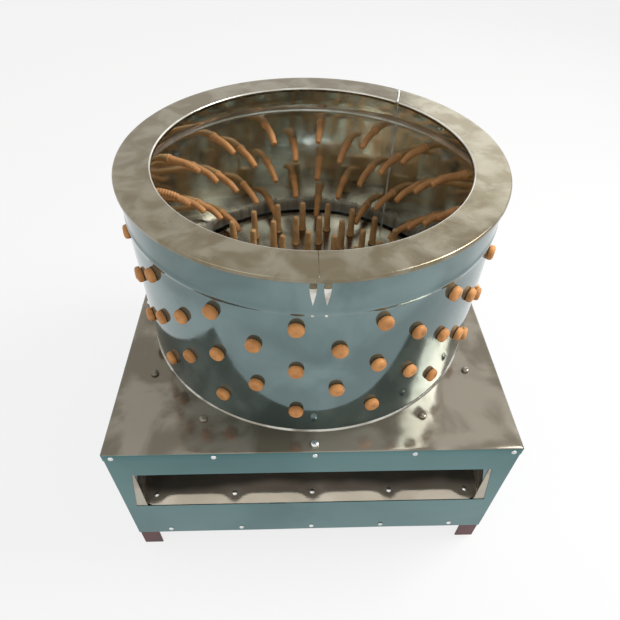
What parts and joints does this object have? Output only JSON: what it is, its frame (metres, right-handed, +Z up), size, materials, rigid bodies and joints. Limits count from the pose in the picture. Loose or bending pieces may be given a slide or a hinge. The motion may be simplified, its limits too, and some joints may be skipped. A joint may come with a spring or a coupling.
{
  "type": "poultry plucker",
  "caption": "Drum poultry plucker: a round stainless tub lined with rubber fingers over a turning finger plate, on a square housing with a belt drive and a feather outlet.",
  "frame": {"origin": "on the floor, under the drum's axis", "axes": "+Z up along the drum's axis, -Y towards the feather outlet, +X to the right of someone facing the outlet"},
  "size_m": [0.6692, 0.6852, 0.666],
  "materials": {
    "housing_steel": "polished stainless sheet",
    "red_primer": "matt red-oxide primer",
    "drum_steel": "mirror-polished stainless sheet",
    "finger_rubber": "moulded orange-tan rubber",
    "plate_steel": "worn stainless sheet",
    "bright_fasteners": "bright zinc",
    "cast_metal": "painted casting",
    "bearing_steel": "ground steel",
    "black_rubber": "black rubber",
    "plate_paint": "grey enamel",
    "motor_paint": "green enamel",
    "stator_iron": "varnished laminations",
    "black_plastic": "moulded black plastic",
    "green_plastic": "moulded green plastic",
    "red_plastic": "moulded red plastic"
  },
  "bodies": {
    "housing": {"top_plate": "housing_steel", "front_panel": "housing_steel", "rear_panel": "housing_steel", "left_panel": "housing_steel", "right_panel": "housing_steel", "frame_legs": "red_primer", "frame_top_rails": "red_primer", "frame_bottom_rails": "red_primer", "frame_corner_braces": "red_primer", "chute_bars": "red_primer", "drive_beams": "red_primer", "chute_floor": "housing_steel", "chute_sides": "housing_steel", "chute_rivets": "bright_fasteners", "skirt_rivets": "bright_fasteners", "lower_rivets": "bright_fasteners", "top_plate_bolts": "bright_fasteners", "drum_wall": "drum_steel", "drum_seam_strip": "drum_steel", "rim_left": "drum_steel", "rim_right": "drum_steel", "wall_fingers_row_1": "finger_rubber", "wall_fingers_row_2": "finger_rubber", "wall_fingers_row_3": "finger_rubber", "wall_fingers_row_4": "finger_rubber", "wall_fingers_row_5": "finger_rubber", "bearing_housing": "cast_metal", "bearing_outer_races": "bearing_steel", "bearing_balls": "bearing_steel", "shaft_seal": "black_rubber", "bearing_bolts": "bright_fasteners", "drive_belt": "black_rubber", "motor_plate": "plate_paint", "motor_bolts": "bright_fasteners", "motor_casing": "motor_paint", "motor_end_shields": "motor_paint", "motor_stator": "stator_iron", "motor_fan_cover": "motor_paint", "terminal_box": "motor_paint", "cable_gland": "black_plastic", "switch_station": "black_plastic"},
    "rotor": {"feather_plate": "plate_steel", "plate_fingers_outer": "finger_rubber", "plate_fingers_second": "finger_rubber", "plate_fingers_third": "finger_rubber", "plate_hub": "cast_metal", "hub_bolts": "bright_fasteners", "plate_nut": "bright_fasteners", "sweep_blades": "plate_steel", "main_shaft": "bearing_steel", "bearing_inner_races": "bearing_steel", "driven_pulley": "cast_metal", "pulley_bolt": "bright_fasteners"},
    "motor_rotor": {"motor_shaft": "bearing_steel", "motor_fan": "black_plastic", "motor_pulley": "cast_metal"},
    "start_push": {"start_button": "green_plastic"},
    "stop_push": {"stop_button": "red_plastic"}
  },
  "joints": [
    {"name": "plate_spin", "type": "hinge", "parent": "housing", "child": "rotor", "pos_m": [0, 0, 0.35], "axis": [0, 0, 1], "continuous": true},
    {"name": "motor_spin", "type": "hinge", "parent": "housing", "child": "motor_rotor", "pos_m": [0, 0.235, 0.2], "axis": [0, 0, 1], "continuous": true},
    {"name": "start_press", "type": "slide", "parent": "housing", "child": "start_push", "axis": [-1, 0, 0], "range_m": [0, 0.004], "stiffness_N_per_m": 600},
    {"name": "stop_press", "type": "slide", "parent": "housing", "child": "stop_push", "axis": [-1, 0, 0], "range_m": [0, 0.004], "stiffness_N_per_m": 600}
  ],
  "couplings": [
    {"joint": "motor_spin", "follows": "plate_spin", "ratio": 4}
  ]
}
